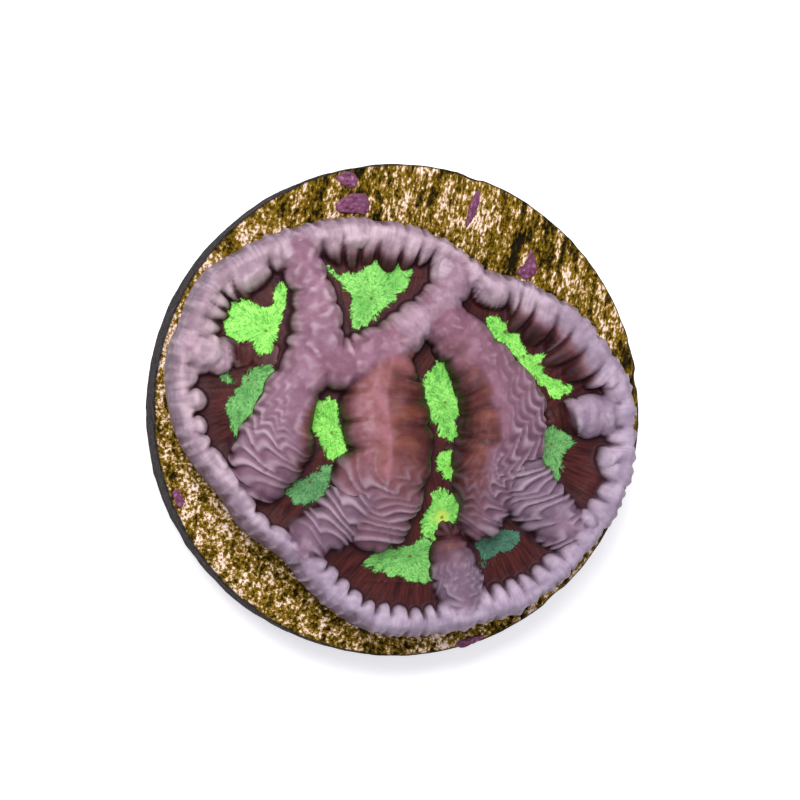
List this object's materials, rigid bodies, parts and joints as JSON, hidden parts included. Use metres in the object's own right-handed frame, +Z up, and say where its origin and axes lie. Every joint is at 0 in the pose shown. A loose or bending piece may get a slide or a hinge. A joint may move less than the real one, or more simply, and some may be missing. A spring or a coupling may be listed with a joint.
{
  "type": "brain coral colony on a round plug disc",
  "caption": "Low domed brain coral with folded fleshy walls around deep meandering valleys, grown on a flat round disc with patches of algae crust.",
  "frame": {"origin": "centre of the disc's underside", "axes": "+Z up out of the disc towards the colony, +Y towards the bare margin with the larger crusts, +X to the right of someone who looks along +Y"},
  "size_m": [0.05, 0.05, 0.0182],
  "materials": {
    "plug_disc": "porous mineral, rough sawn top under a film of olive algae, dark sides",
    "coral_tissue": "wet fleshy tissue, lavender and rose walls, dark maroon flanks, bright green valley floors",
    "algae_crust": "hard bumpy purple coralline algae"
  },
  "bodies": {
    "root": {"disc": "plug_disc", "coral": "coral_tissue", "crust_far_small": "algae_crust", "crust_far": "algae_crust", "crust_streak": "algae_crust", "crust_right": "algae_crust", "crust_near": "algae_crust", "crust_left": "algae_crust"}
  },
  "joints": []
}
